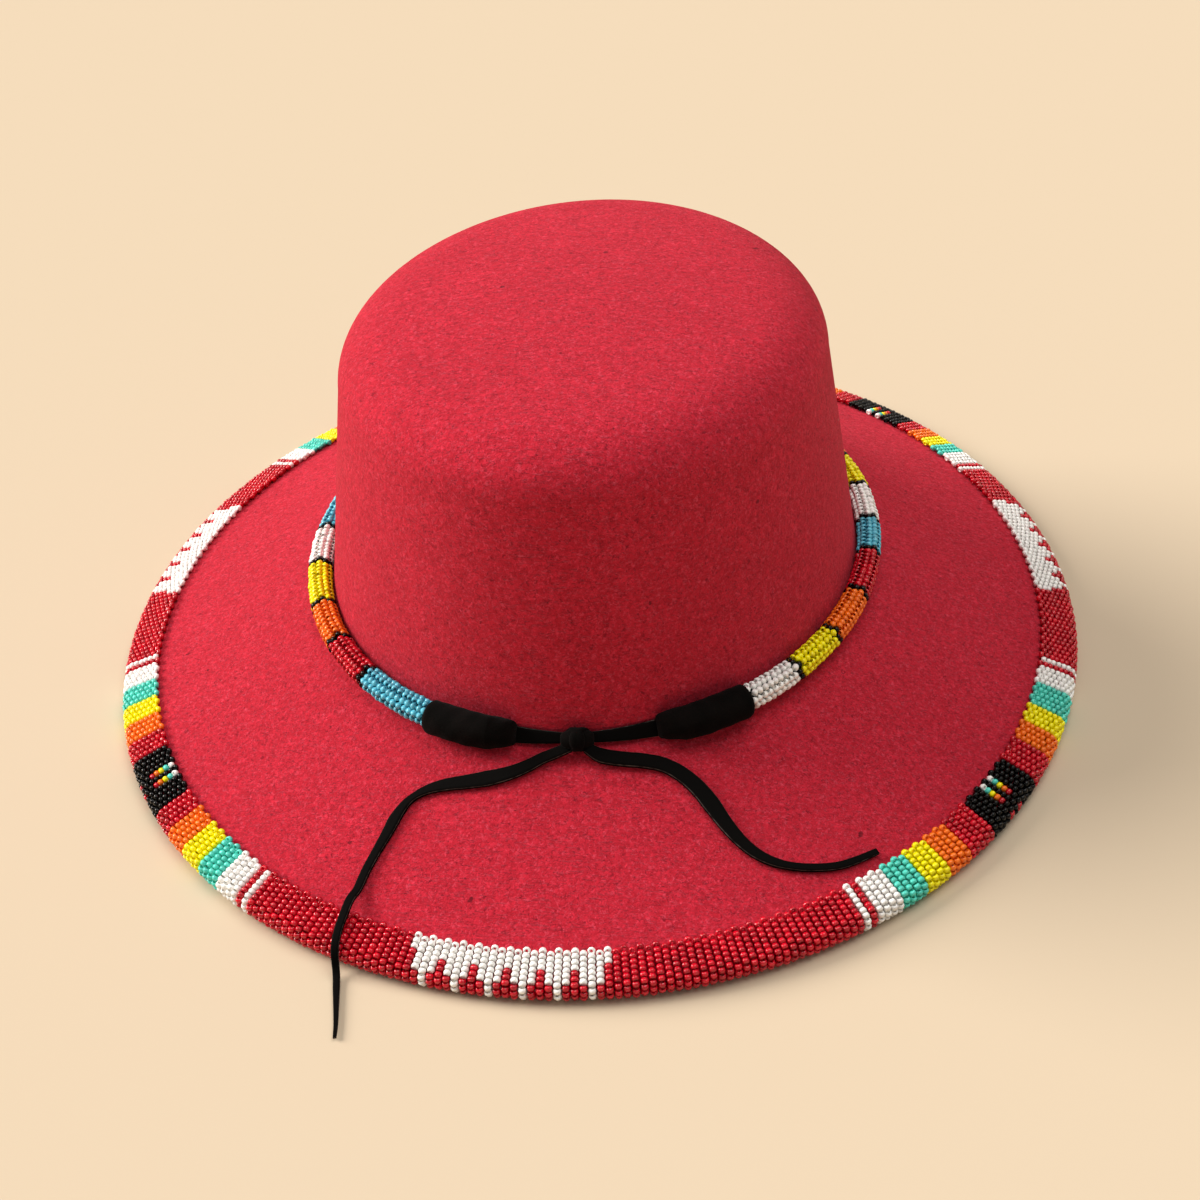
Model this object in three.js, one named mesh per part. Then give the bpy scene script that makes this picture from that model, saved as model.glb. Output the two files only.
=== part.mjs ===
// A red wool felt hat: an open flat-topped crown and a wide brim in one piece of felt,
// a brim edge wrapped in beads, a beaded rope for a hatband, and a black suede tie.
// Millimetres, +Z up. The hat rests on the beaded edge of its brim at z = 0.
// X is the width of the head and Y its length; the tie is on the -Y side.
import * as THREE from "three";

// Felt
const FELT = 2.8; // thickness of the crown and brim
const CLEARANCE = 0.3; // gap between pieces that touch

// Crown, outside of the felt
const CROWN_HALF_WIDTH = 86.6; // X, at the foot of the wall
const CROWN_HALF_LENGTH = 102; // Y, at the foot of the wall
const CROWN_HEIGHT = 94.2; // from the foot of the wall to the top's centre
const CROWN_TAPER = 10.2; // lean of the wall on each side, up to the shoulder
const SHOULDER_REACH = 21; // the rounded edge of the top, measured inwards
const SHOULDER_DEPTH = 16.5; // and downwards
const TOP_RISE = 4; // crowning of the flat top
const BREAK = 3.6; // size of the bend where the wall turns into the brim

// Brim
const BRIM_REACH = 74.5; // from the foot of the wall to the outside of the beads
const BRIM_FALL = 27.5; // drop of the felt from the wall to the beaded edge
const EDGE_TILT = THREE.MathUtils.degToRad(16); // slope of the brim at its edge

// Beads wrapped over the edge of the brim
const BEAD_LAYER = 2.1; // thickness of one layer of beads
const BEADED_WIDTH = 13.4; // from the outside of the beads to their inner row
const REST_FLAT = 2.2; // width of the level ring on which the beads rest

// Beaded rope round the foot of the crown
const ROPE_RADIUS = 4.2;
const ROPE_STEPS = 56;
const ROPE_SIDES = 10;

// Suede tie, placed by its angle round the crown: -90 degrees is the middle of the -Y side
const LEFT_WRAP = { from: -112.8, to: -95.6 };
const LEFT_LACE = { from: -95.4, to: -87.4 };
const KNOT = { from: -87.2, to: -80.4 };
const RIGHT_LACE = { from: -80.2, to: -69 };
const RIGHT_WRAP = { from: -51.2, to: -68.8 };
const LACE_WIDTH = 4;
const LACE_THICKNESS = 1.4;
const TAIL_STEPS = 30;

const WRAP_RADIUS = 5.2;
const LACE_BETWEEN_WIDTH = 5; // the stretched lace between a wrap and the knot
const LACE_LEAN = -62; // degrees from level, leaning on the crown
const KNOT_DEPTH = 6.8; // outwards from the crown
const KNOT_HEIGHT = 6.4;

// Sections of a wrap, from the rope to the lace. out and up are shares of the wrap's radius.
const WRAP_SECTIONS = [
  { at: 0, out: 0.93, up: 0.93 },
  { at: 0.04, out: 1, up: 1 },
  { at: 0.5, out: 0.98, up: 1.02 },
  { at: 0.74, out: 0.9, up: 1 },
  { at: 0.92, out: 0.66, up: 0.86 },
  { at: 1, out: 0.46, up: 0.7 },
];
// Sections of the knot along its length, as shares of its depth and height.
const KNOT_SECTIONS = [
  { at: 0, size: 0.5 },
  { at: 0.16, size: 0.86 },
  { at: 0.36, size: 1 },
  { at: 0.5, size: 0.93 },
  { at: 0.66, size: 1 },
  { at: 0.86, size: 0.84 },
  { at: 1, size: 0.5 },
];

// Routes of the two loose tails, chosen points on the brim (x, y, z).
const LEFT_TAIL_ROUTE = [
  [3.4, -108.2, 31.9],
  [-0.2, -109.6, 30.9],
  [-4.4, -111.8, 29.5],
  [-9.3, -113.9, 28.3],
  [-15.0, -115.2, 27.1],
  [-21.7, -116.2, 26.0],
  [-28.2, -116.9, 24.9],
  [-33.8, -118.2, 23.5],
  [-38.4, -121.0, 21.7],
  [-41.3, -125.4, 19.6],
  [-43.2, -130.6, 17.4],
  [-45.3, -136.2, 15.2],
  [-47.3, -142.2, 13.0],
  [-48.5, -148.4, 11.5],
  [-49.5, -153.0, 11.9],
  [-50.3, -157.8, 10.6],
  [-50.8, -162.2, 9.3],
  [-50.9, -166.0, 7.9],
  [-50.7, -168.6, 5.6],
  [-50.4, -170.0, 3.0],
  [-49.8, -172.4, 1.3],
  [-48.8, -176.6, 1.0],
  [-47.2, -183.0, 1.0],
  [-45.7, -189.2, 1.0],
  [-44.9, -193.6, 1.0],
];
const RIGHT_TAIL_ROUTE = [
  [16.2, -107.6, 31.8],
  [19.6, -107.6, 31.0],
  [23.6, -107.2, 30.3],
  [28.6, -106.6, 29.6],
  [34.6, -106.4, 28.4],
  [40.0, -108.0, 26.8],
  [45.1, -110.9, 24.5],
  [49.6, -115.0, 22.0],
  [54.0, -119.9, 19.4],
  [58.8, -124.3, 17.0],
  [63.8, -127.3, 15.0],
  [69.4, -128.8, 13.5],
  [75.4, -128.7, 12.3],
  [81.6, -127.4, 11.4],
  [87.2, -125.3, 10.7],
  [92.4, -122.0, 10.4],
  [97.6, -118.0, 10.2],
];

const SEGMENTS = 72; // facets round the hat
const MEAN_HALF = (CROWN_HALF_WIDTH + CROWN_HALF_LENGTH) / 2;
const CORE_HALF = MEAN_HALF - CROWN_TAPER - SHOULDER_REACH; // inside this the top scales to its centre
const EDGE_RADIUS = FELT / 2 + CLEARANCE + BEAD_LAYER;
const EDGE_OFFSET = BRIM_REACH - EDGE_RADIUS; // where the beads turn over the edge
const EDGE_Z = Math.sqrt(EDGE_RADIUS ** 2 - (REST_FLAT / 2) ** 2);

const felt = new THREE.MeshStandardMaterial({ color: 0xc22a40, roughness: 0.95, metalness: 0 });
const beads = new THREE.MeshStandardMaterial({ color: 0xb01524, roughness: 0.25, metalness: 0 });
const ropeBeads = new THREE.MeshStandardMaterial({ color: 0xf2ead8, roughness: 0.3, metalness: 0 });
const suede = new THREE.MeshStandardMaterial({ color: 0x17130f, roughness: 0.9, metalness: 0 });

// A point of the oval that lies `offset` outside the foot of the crown.
function ovalPoint(angle, offset, z) {
  const x = (CROWN_HALF_WIDTH + offset) * Math.cos(angle);
  const y = (CROWN_HALF_LENGTH + offset) * Math.sin(angle);
  return new THREE.Vector3(x, y, z);
}

// How far outside the foot of the crown a point lies.
function ovalOffset(x, y) {
  let low = -CROWN_HALF_WIDTH / 2;
  let high = 2 * BRIM_REACH;
  for (let i = 0; i < 40; i++) {
    const mid = (low + high) / 2;
    const outside = Math.hypot(x / (CROWN_HALF_WIDTH + mid), y / (CROWN_HALF_LENGTH + mid)) > 1;
    if (outside) low = mid;
    else high = mid;
  }
  return low;
}

// Mid surface of the brim: a parabola, steep at the crown and flatter at its edge.
const BRIM_CURVE = (BRIM_FALL - Math.tan(EDGE_TILT) * EDGE_OFFSET) / EDGE_OFFSET ** 2;

function brimZ(offset) {
  const inside = EDGE_OFFSET - offset;
  return EDGE_Z + Math.tan(EDGE_TILT) * inside + BRIM_CURVE * inside ** 2;
}

function brimAngle(offset) {
  return Math.atan(Math.tan(EDGE_TILT) + 2 * BRIM_CURVE * (EDGE_OFFSET - offset));
}

// A profile point `height` above or below the middle of the brim's felt.
function brimPoint(offset, height) {
  const angle = brimAngle(offset);
  return new THREE.Vector2(offset + height * Math.sin(angle), brimZ(offset) + height * Math.cos(angle));
}

// Turns a profile of (offset, z) points round the oval of the crown.
function ovalLathe(profile) {
  const points = profile.map((p) => new THREE.Vector2(Math.max(p.x + MEAN_HALF, 0), p.y));
  const geometry = new THREE.LatheGeometry(points, SEGMENTS);
  geometry.rotateX(Math.PI / 2);
  const position = geometry.getAttribute("position");
  for (let i = 0; i < position.count; i++) {
    const x = position.getX(i);
    const y = position.getY(i);
    const radius = Math.hypot(x, y);
    const offset = Math.max(radius, CORE_HALF) - MEAN_HALF;
    const share = Math.min(radius / CORE_HALF, 1);
    const angle = Math.atan2(y, x);
    const placed = ovalPoint(angle, offset, position.getZ(i));
    position.setXYZ(i, placed.x * share, placed.y * share, placed.z);
  }
  geometry.computeVertexNormals();
  return geometry;
}

// Middle of the felt from the top's centre to the edge of the brim, as (offset, z).
function feltMidline() {
  const wallOffset = -FELT / 2;
  const footZ = brimZ(wallOffset);
  const topZ = footZ + CROWN_HEIGHT;
  const coreOffset = CORE_HALF - MEAN_HALF + wallOffset;
  const shoulderX = wallOffset - CROWN_TAPER;
  const shoulderZ = topZ - TOP_RISE - SHOULDER_DEPTH;
  const domeSlope = (2 * TOP_RISE) / (CORE_HALF + wallOffset);
  const roundness = 0.56;
  const brimStart = wallOffset + BREAK;
  const cornerZ = brimZ(brimStart) + BREAK * Math.tan(brimAngle(brimStart));
  const halfSpan = (EDGE_OFFSET - brimStart) / 2;
  const middleZ = brimZ(brimStart) - halfSpan * Math.tan(brimAngle(brimStart));

  const path = new THREE.Path();
  path.moveTo(-MEAN_HALF, topZ);
  path.quadraticCurveTo((coreOffset - MEAN_HALF) / 2, topZ, coreOffset, topZ - TOP_RISE);
  path.bezierCurveTo(
    coreOffset + roundness * SHOULDER_REACH,
    topZ - TOP_RISE - domeSlope * roundness * SHOULDER_REACH,
    shoulderX,
    shoulderZ + roundness * SHOULDER_DEPTH,
    shoulderX,
    shoulderZ,
  );
  path.lineTo(wallOffset, cornerZ + BREAK);
  path.quadraticCurveTo(wallOffset, cornerZ, brimStart, brimZ(brimStart));
  path.quadraticCurveTo(brimStart + halfSpan, middleZ, EDGE_OFFSET, EDGE_Z);
  return path;
}

// Both faces of the felt, half a thickness to each side of its middle.
function feltBody() {
  const divisions = [3, 6, 2, 3, 5]; // facets of the top, shoulder, wall, break and brim
  const upper = [];
  const lower = [];
  feltMidline().curves.forEach((curve, index) => {
    const first = index === 0 ? 0 : 1;
    for (let i = first; i <= divisions[index]; i++) {
      const share = i / divisions[index];
      const point = curve.getPoint(share);
      const along = curve.getTangent(share);
      const across = new THREE.Vector2(-along.y, along.x).multiplyScalar(FELT / 2);
      upper.push(point.clone().add(across));
      lower.push(point.clone().sub(across));
    }
  });
  upper[0].x = -MEAN_HALF;
  lower[0].x = -MEAN_HALF;
  return ovalLathe([...lower, ...upper.reverse()]);
}

// A C-shaped layer of beads over both faces of the brim's edge, level where it rests.
function brimBeads() {
  const inside = FELT / 2 + CLEARANCE;
  const innerOffset = BRIM_REACH - BEADED_WIDTH;
  const rounding = BEAD_LAYER * 0.3;
  const arcSteps = 10;
  const rows = 3; // facets across the width of the beads
  const upperSkin = [brimPoint(innerOffset - rounding, inside + BEAD_LAYER / 2)];
  const lowerSkin = [brimPoint(innerOffset - rounding, -inside - BEAD_LAYER / 2)];
  const upperSlot = [];
  const lowerSlot = [];
  for (let i = 0; i <= rows; i++) {
    const offset = THREE.MathUtils.lerp(innerOffset, EDGE_OFFSET, i / rows);
    const slotOffset = i === rows ? offset + CLEARANCE : offset;
    const skin = i === 0 ? EDGE_RADIUS - rounding : EDGE_RADIUS;
    upperSkin.push(brimPoint(offset, skin));
    lowerSkin.push(brimPoint(offset, -skin));
    upperSlot.push(brimPoint(slotOffset, inside));
    lowerSlot.push(brimPoint(slotOffset, -inside));
  }
  const nose = [];
  for (let i = 1; i < arcSteps; i++) {
    const turn = EDGE_TILT - Math.PI / 2 + (Math.PI * i) / arcSteps;
    const x = EDGE_OFFSET + EDGE_RADIUS * Math.cos(turn);
    nose.push(new THREE.Vector2(x, EDGE_Z - EDGE_RADIUS * Math.sin(turn)));
  }
  const skin = [...upperSkin, ...nose, ...lowerSkin.reverse()];
  const slot = [...lowerSlot, ...upperSlot.reverse()];
  const profile = [...skin, ...slot].map((p) => new THREE.Vector2(p.x, Math.max(p.y, 0)));
  profile.push(profile[0].clone());
  return ovalLathe(profile.reverse());
}

// Where a section rests in the corner between the crown and the brim.
// The section is an oval with half axes `out` and `up`, turned by `lean` from level.
function cornerSeat(out, up, lean = 0) {
  const reachOut = Math.hypot(out * Math.cos(lean), up * Math.sin(lean));
  const offset = CLEARANCE + reachOut;
  const slope = brimAngle(offset);
  const down = Math.hypot(out * Math.sin(slope + lean), up * Math.cos(slope + lean));
  return { offset, z: brimZ(offset) + (FELT / 2 + CLEARANCE + down) / Math.cos(slope) };
}

// The line that runs round the crown in its corner, between two angles in degrees.
class CornerCurve extends THREE.Curve {
  constructor(from, to, seat) {
    super();
    this.from = THREE.MathUtils.degToRad(from);
    this.to = THREE.MathUtils.degToRad(to);
    this.seat = seat;
  }
  getPoint(share, target = new THREE.Vector3()) {
    const angle = THREE.MathUtils.lerp(this.from, this.to, share);
    return target.copy(ovalPoint(angle, this.seat.offset, this.seat.z));
  }
}

function regularSection(halfWidth, halfHeight, sides) {
  const shape = new THREE.Shape();
  for (let i = 0; i < sides; i++) {
    const turn = (2 * Math.PI * (i + 0.5)) / sides;
    const x = halfWidth * Math.cos(turn);
    const y = halfHeight * Math.sin(turn);
    if (i === 0) shape.moveTo(x, y);
    else shape.lineTo(x, y);
  }
  shape.closePath();
  return shape;
}

function hatbandRope() {
  const seat = cornerSeat(ROPE_RADIUS, ROPE_RADIUS);
  const gap = THREE.MathUtils.radToDeg(CLEARANCE / (CROWN_HALF_WIDTH + seat.offset));
  const path = new CornerCurve(RIGHT_WRAP.from + gap, LEFT_WRAP.from + 360 - gap, seat);
  const section = regularSection(ROPE_RADIUS, ROPE_RADIUS, ROPE_SIDES);
  return new THREE.ExtrudeGeometry(section, {
    steps: ROPE_STEPS,
    bevelEnabled: false,
    extrudePath: path,
  });
}

// A closed solid through rings of points, each ring turning the same way.
function loft(rings) {
  const sides = rings[0].length;
  const points = rings.flat();
  const faces = [];
  for (let r = 0; r + 1 < rings.length; r++) {
    for (let i = 0; i < sides; i++) {
      const a = r * sides + i;
      const b = r * sides + ((i + 1) % sides);
      faces.push(a, b, b + sides, a, b + sides, a + sides);
    }
  }
  for (const [ring, turned] of [
    [0, true],
    [rings.length - 1, false],
  ]) {
    const centre = new THREE.Vector3();
    rings[ring].forEach((p) => centre.addScaledVector(p, 1 / sides));
    points.push(centre);
    for (let i = 0; i < sides; i++) {
      const a = ring * sides + i;
      const b = ring * sides + ((i + 1) % sides);
      if (turned) faces.push(b, a, points.length - 1);
      else faces.push(a, b, points.length - 1);
    }
  }
  const geometry = new THREE.BufferGeometry().setFromPoints(points);
  geometry.setIndex(faces);
  geometry.computeVertexNormals();
  return geometry;
}

// A ring of the loft: an oval section standing across the corner at one angle.
function cornerRing(degrees, { out, up, lean = 0, seat = cornerSeat(out, up, lean) }, sides) {
  const angle = THREE.MathUtils.degToRad(degrees);
  const ring = [];
  for (let i = 0; i < sides; i++) {
    const turn = (2 * Math.PI * i) / sides;
    const u = out * Math.cos(turn);
    const v = up * Math.sin(turn);
    const outwards = u * Math.cos(lean) - v * Math.sin(lean);
    const upwards = u * Math.sin(lean) + v * Math.cos(lean);
    ring.push(ovalPoint(angle, seat.offset + outwards, seat.z + upwards));
  }
  return ring;
}

function cornerLoft(span, sections, sides) {
  const rings = sections.map((section) =>
    cornerRing(THREE.MathUtils.lerp(span.from, span.to, section.at), section, sides),
  );
  if (span.to > span.from) rings.reverse();
  return loft(rings);
}

function wrap(span) {
  const sections = WRAP_SECTIONS.map(({ at, out, up }) => ({
    at,
    out: out * WRAP_RADIUS,
    up: up * WRAP_RADIUS,
  }));
  return cornerLoft(span, sections, 14);
}

function laceBetween(span) {
  const lean = THREE.MathUtils.degToRad(LACE_LEAN);
  const section = { out: LACE_BETWEEN_WIDTH / 2, up: LACE_THICKNESS / 2, lean };
  const sections = [0, 0.5, 1].map((at) => ({ at, ...section }));
  return cornerLoft(span, sections, 10);
}

function knot() {
  const seat = cornerSeat(KNOT_DEPTH / 2, KNOT_HEIGHT / 2);
  const sections = KNOT_SECTIONS.map(({ at, size }) => ({
    at,
    out: (size * KNOT_DEPTH) / 2,
    up: (size * KNOT_HEIGHT) / 2,
    seat,
  }));
  return cornerLoft(KNOT, sections, 12);
}

// The middle of a lace that lies flat: its section keeps one side on what it lies on.
class LaceCurve extends THREE.CatmullRomCurve3 {
  upAt(point) {
    const offset = ovalOffset(point.x, point.y);
    if (offset > EDGE_OFFSET) return new THREE.Vector3(0, 0, 1);
    const slope = brimAngle(offset);
    const outX = point.x / (CROWN_HALF_WIDTH + offset) ** 2;
    const outY = point.y / (CROWN_HALF_LENGTH + offset) ** 2;
    const outwards = new THREE.Vector3(outX, outY, 0).normalize().multiplyScalar(Math.sin(slope));
    return outwards.setZ(Math.cos(slope));
  }
  computeFrenetFrames(segments) {
    const tangents = [];
    const normals = [];
    const binormals = [];
    for (let i = 0; i <= segments; i++) {
      const share = i / segments;
      const tangent = this.getTangentAt(share);
      const up = this.upAt(this.getPointAt(share));
      const side = new THREE.Vector3().crossVectors(up, tangent).normalize();
      tangents.push(tangent);
      normals.push(side);
      binormals.push(new THREE.Vector3().crossVectors(tangent, side));
    }
    return { tangents, normals, binormals };
  }
}

function tail(route) {
  const path = new LaceCurve(route.map(([x, y, z]) => new THREE.Vector3(x, y, z)));
  const section = regularSection(LACE_WIDTH / 2, LACE_THICKNESS / 2, 8);
  return new THREE.ExtrudeGeometry(section, {
    steps: TAIL_STEPS,
    bevelEnabled: false,
    extrudePath: path,
  });
}

function addPiece(group, name, geometry, material) {
  const mesh = new THREE.Mesh(geometry, material);
  mesh.name = name;
  group.add(mesh);
}

const hat = new THREE.Group();
addPiece(hat, "felt_body", feltBody(), felt);
addPiece(hat, "brim_bead_edge", brimBeads(), beads);
addPiece(hat, "hatband_rope", hatbandRope(), ropeBeads);

const tie = new THREE.Group();
addPiece(tie, "left_wrap", wrap(LEFT_WRAP), suede);
addPiece(tie, "right_wrap", wrap(RIGHT_WRAP), suede);
addPiece(tie, "left_lace", laceBetween(LEFT_LACE), suede);
addPiece(tie, "right_lace", laceBetween(RIGHT_LACE), suede);
addPiece(tie, "tie_knot", knot(), suede);
addPiece(tie, "left_tail", tail(LEFT_TAIL_ROUTE), suede);
addPiece(tie, "right_tail", tail(RIGHT_TAIL_ROUTE), suede);
hat.add(tie);

export default hat;
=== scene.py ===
"""A red wool felt hat with a beaded brim, a beaded rope hatband and a suede tie."""

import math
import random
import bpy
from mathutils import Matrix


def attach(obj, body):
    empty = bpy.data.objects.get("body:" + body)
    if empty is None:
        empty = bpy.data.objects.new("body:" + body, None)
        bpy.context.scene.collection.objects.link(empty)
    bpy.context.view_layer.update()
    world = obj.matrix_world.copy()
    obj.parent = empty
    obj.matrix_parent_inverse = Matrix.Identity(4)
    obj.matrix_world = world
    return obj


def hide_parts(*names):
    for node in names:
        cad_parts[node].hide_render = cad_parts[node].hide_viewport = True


bl_info = {
    "name": "Beaded felt hat",
    "version": (1, 0, 0),
    "blender": (4, 5, 0),
    "location": "3D View > Sidebar > Felt hat",
    "description": "Dresses a felt hat: wool felt, seed beads on the brim and hatband, suede tie",
    "category": "Object",
}

import bmesh
import bpy
import numpy as np
from mathutils import Matrix, Vector

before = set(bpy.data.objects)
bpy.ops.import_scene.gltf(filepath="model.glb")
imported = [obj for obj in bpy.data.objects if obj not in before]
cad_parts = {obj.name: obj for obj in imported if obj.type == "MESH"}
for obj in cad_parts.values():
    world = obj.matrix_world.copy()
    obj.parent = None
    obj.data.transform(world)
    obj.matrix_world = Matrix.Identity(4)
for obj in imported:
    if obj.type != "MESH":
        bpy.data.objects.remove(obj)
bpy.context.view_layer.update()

MM = 0.001
BODY = "root"


# Settings


def length(name, description, default_mm, **more):
    """A length that shows in the scene's units."""
    return bpy.props.FloatProperty(
        name=name, description=description, default=default_mm * MM, subtype="DISTANCE",
        unit="LENGTH", precision=5, **more)


def colour(name, description, default):
    """A colour kept as an sRGB hex value."""
    return bpy.props.StringProperty(name=name, description=description, default=default)


class HatSizes(bpy.types.PropertyGroup):
    """Sizes of the felt and of what is sewn or tied to it"""

    felt: length("Felt", "Thickness of the crown and brim", 2.8)
    clearance: length("Clearance", "Gap between pieces that touch", 0.3)
    half_width: length("Half width", "Half the crown's width at its foot", 86.6)
    half_length: length("Half length", "Half the crown's length at its foot", 102.0)
    crown_height: length("Crown height", "Foot of the wall to the middle of the top", 94.2)
    crown_taper: length("Crown taper", "Lean of the wall up to the shoulder", 10.2)
    shoulder_reach: length("Shoulder reach", "Rounding of the top's edge, inwards", 21.0)
    shoulder_depth: length("Shoulder depth", "Rounding of the top's edge, downwards", 16.5)
    top_rise: length("Top rise", "Crowning of the flat top", 4.0)
    bend: length("Bend", "Bend where the wall turns into the brim", 3.6)
    brim_reach: length("Brim reach", "Foot of the wall to the outside of the beads", 74.5)
    brim_fall: length("Brim fall", "Drop from the wall to the beaded edge", 27.5)
    edge_tilt: bpy.props.FloatProperty(
        name="Edge tilt", description="Slope of the brim at its edge",
        default=math.radians(16), subtype="ANGLE")
    rope_radius: length("Rope radius", "Outside radius of the beaded rope", 4.2)
    wrap_radius: length("Wrap radius", "Radius of the suede over the rope's ends", 5.2)
    lace_width: length("Lace width", "Width of the suede lace", 4.0)
    lace_thickness: length("Lace thickness", "Thickness of the suede lace", 1.4)


class BeadSizes(bpy.types.PropertyGroup):
    """Sizes of the glass seed beads"""

    layer: length("Layer", "Thickness of one layer of beads", 2.1)
    width: length("Beaded width", "Outside of the beads to their inner row", 13.4)
    rest_flat: length("Rest flat", "Width of the level ring the hat rests on", 2.2)
    diameter: length("Diameter", "Across a bead sewn to the brim", 2.3)
    length: length("Length", "Along the hole of a bead on the brim", 1.6)
    hole: length("Hole", "Across a bead's hole", 0.75)
    rope_diameter: length("Rope bead diameter", "Across a bead of the rope", 2.14)
    rope_length: length("Rope bead length", "Along the hole of a bead of the rope", 1.85)
    rope_round: bpy.props.IntProperty(
        name="Beads round the rope", description="Columns of beads round the rope", default=10)
    rows: bpy.props.IntProperty(
        name="Rows", description="Beads in a column, from the top of the brim to its underside",
        default=17)
    tilt: bpy.props.FloatProperty(
        name="Rope bead tilt", description="Lean of the rope's beads, turn and turn about",
        default=math.radians(36), subtype="ANGLE")
    seed: bpy.props.IntProperty(name="Seed", description="Unevenness of the beads", default=7)


class HatColours(bpy.types.PropertyGroup):
    """Colours, as sRGB hex values"""

    felt: colour("Felt", "Dyed wool felt", "DC2C42")
    felt_dark: colour("Felt, dark", "Deeper dye between the fibres", "A81828")
    red: colour("Red beads", "Clear-coated ruby glass", "CC0C24")
    white: colour("White beads", "Chalk white glass", "FCFAF6")
    turquoise: colour("Turquoise beads", "Green turquoise glass", "55DAC6")
    yellow: colour("Yellow beads", "Lemon glass", "FFF000")
    orange: colour("Orange beads", "Orange glass", "FF7614")
    black: colour("Black beads", "Jet glass", "030303")
    blue: colour("Rope blue beads", "Blue turquoise glass", "5CBED6")
    suede: colour("Suede", "Black split leather", "080706")
    floor: colour("Floor", "Plain pale ground", "CCBBA2")


# The hat's form

HALVINGS = 40  # steps of a search by halves
GIRTH_STEPS = 7200


class HatForm:
    """Where the felt's surfaces lie. An offset is measured outwards from the wall's foot."""

    def __init__(self, sizes, beads):
        self.sizes = sizes
        self.beads = beads
        self.mean = (sizes.half_width + sizes.half_length) / 2
        self.core = self.mean - sizes.crown_taper - sizes.shoulder_reach
        self.edge_radius = sizes.felt / 2 + sizes.clearance + beads.layer
        self.edge = sizes.brim_reach - self.edge_radius
        self.edge_z = math.sqrt(self.edge_radius**2 - (beads.rest_flat / 2) ** 2)
        self.bead_height = sizes.felt / 2 + sizes.clearance + beads.layer / 2
        self.inner = sizes.brim_reach - beads.width
        self.slope = math.tan(sizes.edge_tilt)
        self.curve = (sizes.brim_fall - self.slope * self.edge) / self.edge**2

    def point(self, angle, offset, z):
        """A point of the oval that lies at an offset."""
        return Vector((
            (self.sizes.half_width + offset) * math.cos(angle),
            (self.sizes.half_length + offset) * math.sin(angle), z))

    def outward(self, angle):
        return Vector((math.cos(angle), math.sin(angle), 0))

    def brim_z(self, offset):
        inside = self.edge - offset
        return self.edge_z + self.slope * inside + self.curve * inside**2

    def brim_angle(self, offset):
        return math.atan(self.slope + 2 * self.curve * (self.edge - offset))

    def brim_point(self, offset, height):
        """A profile point above or below the middle of the brim's felt."""
        angle = self.brim_angle(offset)
        return (offset + height * math.sin(angle), self.brim_z(offset) + height * math.cos(angle))

    def offset_at(self, x, y):
        """How far outside the wall's foot a point of the plan lies."""
        low, high = -self.sizes.half_width / 2, 2 * self.sizes.brim_reach
        for _ in range(HALVINGS):
            middle = (low + high) / 2
            across = x / (self.sizes.half_width + middle)
            along = y / (self.sizes.half_length + middle)
            if across**2 + along**2 > 1:
                low = middle
            else:
                high = middle
        return low

    def corner_seat(self, out, up, lean=0.0):
        """Offset and height of an oval section that rests on the brim and the wall."""
        gap = self.sizes.clearance
        offset = gap + math.hypot(out * math.cos(lean), up * math.sin(lean))
        slope = self.brim_angle(offset)
        down = math.hypot(out * math.sin(slope + lean), up * math.cos(slope + lean))
        lift = (self.sizes.felt / 2 + gap + down) / math.cos(slope)
        return offset, self.brim_z(offset) + lift

    def girth(self, offset, start=-90.0, end=270.0):
        """Angles and lengths along the oval at an offset, for even spacing."""
        angles = np.radians(np.linspace(start, end, GIRTH_STEPS + 1))
        x = (self.sizes.half_width + offset) * np.cos(angles)
        y = (self.sizes.half_length + offset) * np.sin(angles)
        lengths = np.concatenate([[0.0], np.cumsum(np.hypot(np.diff(x), np.diff(y)))])
        return angles, lengths


def hat_form(context):
    return HatForm(context.scene.hat_sizes, context.scene.hat_beads)


# Small helpers


def linear(hex_value):
    """sRGB hex to the linear colour that shaders take."""
    values = [int(hex_value[i:i + 2], 16) / 255 for i in (0, 2, 4)]
    return tuple(v / 12.92 if v <= 0.04045 else ((v + 0.055) / 1.055) ** 2.4 for v in values) + (1.0,)


def fill(tree, node, values):
    """Links a value that is a socket to the node's input of that name, and sets any other."""
    for key, value in values.items():
        if isinstance(value, bpy.types.NodeSocket):
            tree.links.new(value, node.inputs[key])
        else:
            node.inputs[key].default_value = value


def add_node(tree, kind, inputs=None, **settings):
    node = tree.nodes.new(kind)
    for name, value in settings.items():
        setattr(node, name, value)
    fill(tree, node, inputs or {})
    return node


def calc(tree, operation, first, second):
    return add_node(tree, "ShaderNodeMath", {0: first, 1: second}, operation=operation).outputs[0]


def show(name, data):
    """An object of the scene, at the origin, for a mesh, a camera or a lamp."""
    thing = bpy.data.objects.new(name, data)
    bpy.context.scene.collection.objects.link(thing)
    return thing


def new_piece(name, vertices, faces, material):
    """A mesh object at the origin, with its faces turned outwards."""
    mesh = bpy.data.meshes.new(name)
    mesh.from_pydata([tuple(v) for v in vertices], [], faces)
    shell = bmesh.new()
    shell.from_mesh(mesh)
    if shell.calc_volume(signed=True) < 0:
        bmesh.ops.reverse_faces(shell, faces=shell.faces)
    shell.to_mesh(mesh)
    shell.free()
    mesh.shade_smooth()
    mesh.materials.append(material)
    return show(name, mesh)


def ring_faces(rings, sides, joined=False):
    """Quads between rings of points, and from the last ring to the first if they are joined."""
    faces = []
    for r in range(rings if joined else rings - 1):
        near, far = r * sides, (r + 1) % rings * sides
        for i in range(sides):
            j = (i + 1) % sides
            faces.append((near + i, near + j, far + j, far + i))
    return faces


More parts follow.
